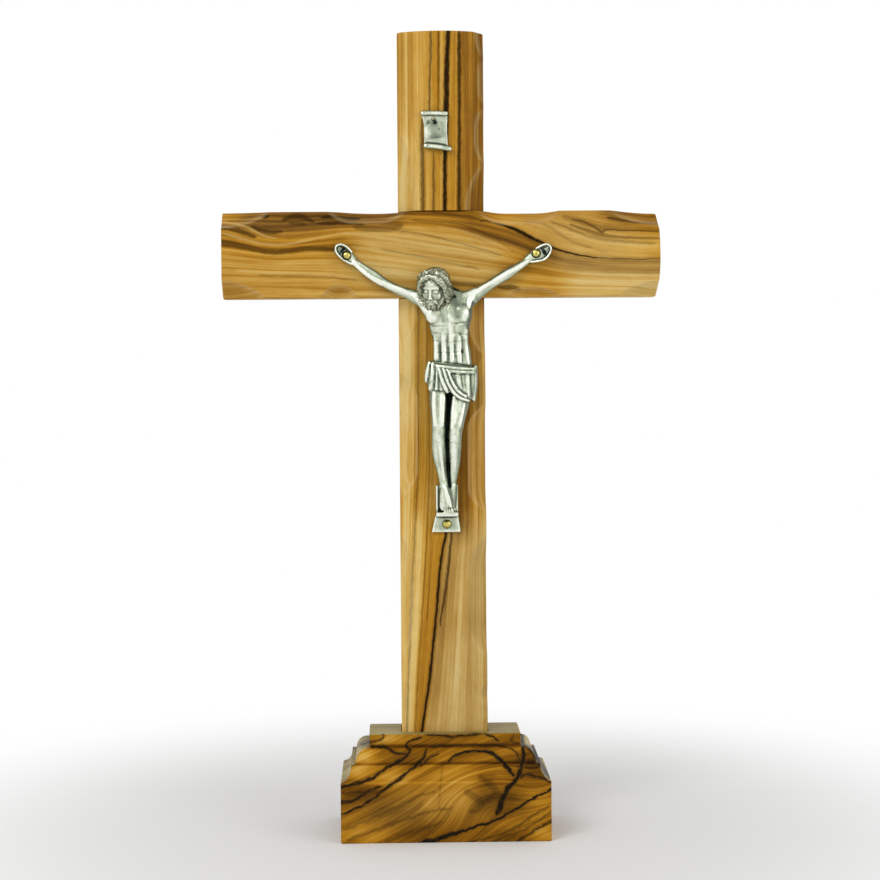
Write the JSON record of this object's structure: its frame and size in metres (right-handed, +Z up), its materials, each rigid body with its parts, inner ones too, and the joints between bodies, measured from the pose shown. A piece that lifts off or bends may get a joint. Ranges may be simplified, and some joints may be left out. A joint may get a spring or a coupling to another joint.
{
  "type": "standing crucifix",
  "caption": "Standing wooden crucifix: half-lapped cross with scooped edges in a stepped moulded base, with a pinned cast metal figure and a bare cast scroll.",
  "frame": {"origin": "centre of the rectangle that the base covers, on the surface it stands on", "axes": "+Z up along the upright, +X to the viewer's right along the crossbar, -Y out of the front, where the figure is"},
  "size_m": [0.164, 0.043, 0.3],
  "materials": {
    "olive_wood": "satin lacquer over figured olive wood, golden tan with brown lines and near-black streaks",
    "olive_wood_base": "satin lacquer over figured olive wood, orange brown with black veins",
    "cast_metal": "antique silver plate over a zinc alloy casting, bright on the high places and dark in the hollows",
    "brass_pins": "plain bright brass",
    "steel": "plain zinc-plated steel"
  },
  "bodies": {
    "root": {"upright": "olive_wood", "crossbar": "olive_wood", "base_block": "olive_wood_base", "base_screw": "steel", "corpus": "cast_metal", "titulus_scroll": "cast_metal", "left_hand_nail": "brass_pins", "right_hand_nail": "brass_pins", "foot_nail": "brass_pins", "scroll_nail": "brass_pins"}
  },
  "joints": []
}
